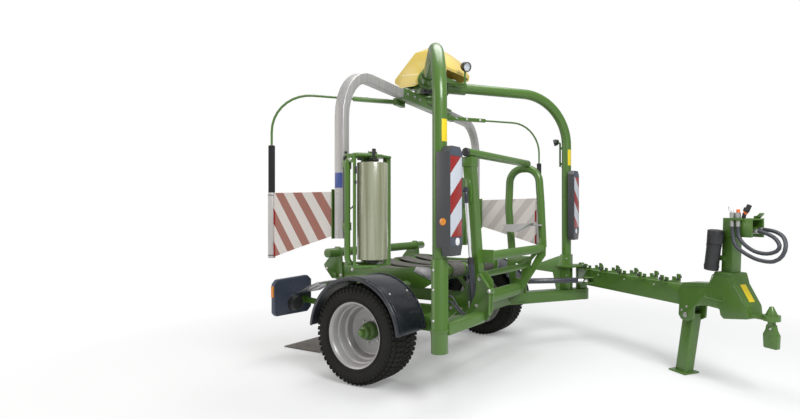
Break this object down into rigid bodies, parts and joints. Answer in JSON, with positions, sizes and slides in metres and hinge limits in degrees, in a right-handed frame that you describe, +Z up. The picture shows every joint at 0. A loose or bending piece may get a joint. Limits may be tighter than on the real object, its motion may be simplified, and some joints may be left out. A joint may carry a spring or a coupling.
{
  "type": "bale wrapper",
  "caption": "Towed round-bale wrapper: twin film dispensers on a turning satellite under a tube gantry, tipping belt table, side loading arm and swinging drawbar on a jack stand.",
  "frame": {"origin": "middle of the parked machine's footprint, on the ground", "axes": "+X forward, the way it is towed; +Y to its left; +Z up"},
  "size_m": [4.5639, 3.049, 3.035],
  "materials": {
    "green_paint": "gloss",
    "yellow_paint": "gloss",
    "black_plastic": "satin",
    "black_paint": "satin",
    "blue_grey_plastic": "satin",
    "board_white": "reflective",
    "belt_rubber": "matte",
    "silver_paint": "satin",
    "tyre_rubber": "matte",
    "aluminium": "satin",
    "mesh_fabric": "matte",
    "film": "gloss",
    "chrome": "polished",
    "hose_rubber": "satin"
  },
  "bodies": {
    "frame": {"chassis": "green_paint", "right_outrigger": "green_paint", "gantry_hub": "green_paint", "gantry_tube_right": "green_paint", "gantry_tube_left": "green_paint", "drive_hood": "yellow_paint", "fender_right": "black_plastic", "fender_left": "black_plastic", "warning_housing_right": "black_plastic", "warning_housing_left": "black_plastic", "warning_board_right": "board_white", "warning_board_left": "board_white", "light_panel_right": "blue_grey_plastic", "light_panel_left": "blue_grey_plastic", "drop_mat": "belt_rubber", "rear_tread_right": "silver_paint", "rear_tread_left": "silver_paint"},
    "wheel_right": {"tyre_right": "tyre_rubber", "rim_right": "silver_paint", "wheel_hub_right": "green_paint"},
    "wheel_left": {"tyre_left": "tyre_rubber", "rim_left": "silver_paint", "wheel_hub_left": "green_paint"},
    "satellite": {"satellite_beam": "green_paint", "satellite_arm_right": "aluminium", "satellite_arm_left": "aluminium", "safety_rod_right": "green_paint", "safety_rod_left": "green_paint", "rod_tube_right": "silver_paint", "rod_tube_left": "silver_paint", "mesh_flag_right": "mesh_fabric", "mesh_flag_left": "mesh_fabric", "flag_bracket_right": "green_paint", "flag_bracket_left": "green_paint", "dispenser_right": "green_paint", "dispenser_left": "green_paint"},
    "film_roll_right": {"film_roll_right": "film"},
    "film_roll_left": {"film_roll_left": "film"},
    "table": {"table_frame": "green_paint", "table_belt_1": "belt_rubber", "table_belt_2": "belt_rubber", "table_belt_3": "belt_rubber", "table_belt_4": "belt_rubber", "table_rear_guide": "green_paint"},
    "loading_arm": {"loading_arm_post": "green_paint", "loading_arm_top_tube": "green_paint", "loading_arm_truss": "green_paint", "loading_arm_hoop": "green_paint", "bale_guide": "silver_paint"},
    "lift_barrel": {"lift_cylinder_barrel": "black_paint"},
    "lift_rod": {"lift_cylinder_rod": "chrome"},
    "drawbar": {"drawbar_beam": "green_paint", "headstock": "green_paint", "hitch_tongue": "green_paint", "tool_canister": "black_plastic", "drawbar_hose_long": "hose_rubber", "drawbar_hose_short": "hose_rubber"},
    "stand": {"jack_stand": "green_paint"},
    "swing_barrel": {"swing_cylinder_barrel": "black_paint"},
    "swing_rod": {"swing_cylinder_rod": "chrome"}
  },
  "joints": [
    {"name": "wheel_right_spin", "type": "hinge", "parent": "frame", "child": "wheel_right", "pos_m": [-0.773, -1.044, 0.41], "axis": [0, 1, 0], "continuous": true},
    {"name": "wheel_left_spin", "type": "hinge", "parent": "frame", "child": "wheel_left", "pos_m": [-0.773, 1.044, 0.41], "axis": [0, 1, 0], "continuous": true},
    {"name": "satellite_spin", "type": "hinge", "parent": "frame", "child": "satellite", "pos_m": [-0.902, 0, 2.5], "axis": [0, 0, 1], "continuous": true},
    {"name": "film_roll_right_spin", "type": "hinge", "parent": "satellite", "child": "film_roll_right", "pos_m": [-0.43955, -1.35844, 1.416], "axis": [0, 0, 1], "continuous": true},
    {"name": "film_roll_left_spin", "type": "hinge", "parent": "satellite", "child": "film_roll_left", "pos_m": [-1.36445, 1.35844, 1.416], "axis": [0, 0, 1], "continuous": true},
    {"name": "table_tip", "type": "hinge", "parent": "frame", "child": "table", "pos_m": [-1.522, 0, 0.8], "axis": [0, -1, 0], "range_deg": [0, 40]},
    {"name": "loading_arm_swing", "type": "hinge", "parent": "frame", "child": "loading_arm", "pos_m": [-0.162, 0, 0.61], "axis": [0, 1, 0], "range_deg": [0, 92]},
    {"name": "lift_cylinder_pivot", "type": "hinge", "parent": "frame", "child": "lift_barrel", "pos_m": [0.068, -0.7, 0.575], "axis": [0, 1, 0], "range_deg": [0, 105.79]},
    {"name": "lift_cylinder_stroke", "type": "slide", "parent": "lift_barrel", "child": "lift_rod", "axis": [-0.0835, 0, 0.9965], "range_m": [-0.2606, 0]},
    {"name": "drawbar_swing", "type": "hinge", "parent": "frame", "child": "drawbar", "pos_m": [0.248, 1.45, 0.66], "axis": [0, 0, 1], "range_deg": [0, 37.3]},
    {"name": "jack_stand_fold", "type": "hinge", "parent": "drawbar", "child": "stand", "pos_m": [1.57053, 0.47851, 0.527], "axis": [0.592, 0.8059, 0], "range_deg": [0, 70]},
    {"name": "swing_cylinder_pivot", "type": "hinge", "parent": "frame", "child": "swing_barrel", "pos_m": [-0.162, 0.8, 0.665], "axis": [0, 0, 1], "range_deg": [0, 2.35]},
    {"name": "swing_cylinder_stroke", "type": "slide", "parent": "swing_barrel", "child": "swing_rod", "axis": [0.8097, 0.5868, 0], "range_m": [0, 0.1822]}
  ],
  "couplings": [
    {"joint": "lift_cylinder_pivot", "follows": "loading_arm_swing", "ratio": 1.1494},
    {"joint": "lift_cylinder_stroke", "follows": "loading_arm_swing", "m_per_rad": -0.16216},
    {"joint": "swing_cylinder_pivot", "follows": "drawbar_swing", "ratio": 0.06176},
    {"joint": "swing_cylinder_stroke", "follows": "drawbar_swing", "m_per_rad": 0.27951}
  ]
}
